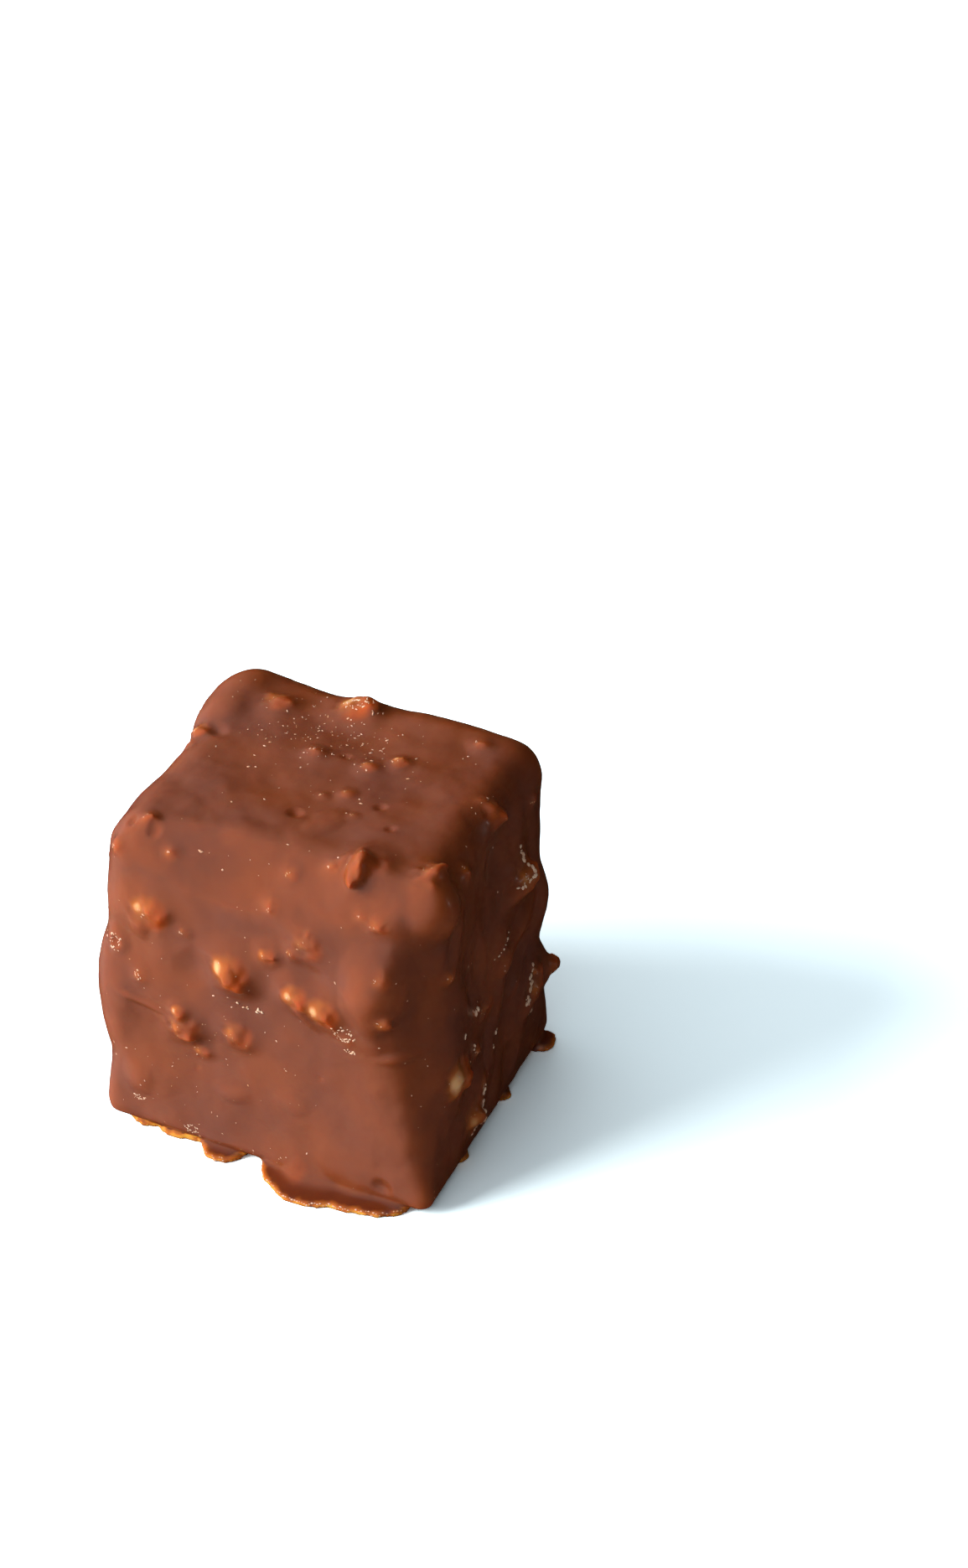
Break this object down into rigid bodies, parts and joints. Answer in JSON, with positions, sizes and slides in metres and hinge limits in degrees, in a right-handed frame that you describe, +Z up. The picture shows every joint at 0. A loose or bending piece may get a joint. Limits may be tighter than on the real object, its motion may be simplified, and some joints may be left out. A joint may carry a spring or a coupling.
{
  "type": "hazelnut praline",
  "caption": "Block-shaped praline dipped in milk chocolate, lumpy with chopped hazelnut, standing on the thin foot where the coating ran out.",
  "frame": {"origin": "middle of the flat underside of the foot, on the surface the praline stands on", "axes": "+Z up; -Y out of the broad front face; +X out of the narrower face beside it"},
  "size_m": [0.037, 0.0351, 0.0369],
  "materials": {
    "milk_chocolate": "satin milk chocolate coating over chopped nuts",
    "roasted_hazelnut": "bare broken face of roasted hazelnut"
  },
  "bodies": {
    "root": {"praline": "milk_chocolate"}
  },
  "joints": []
}
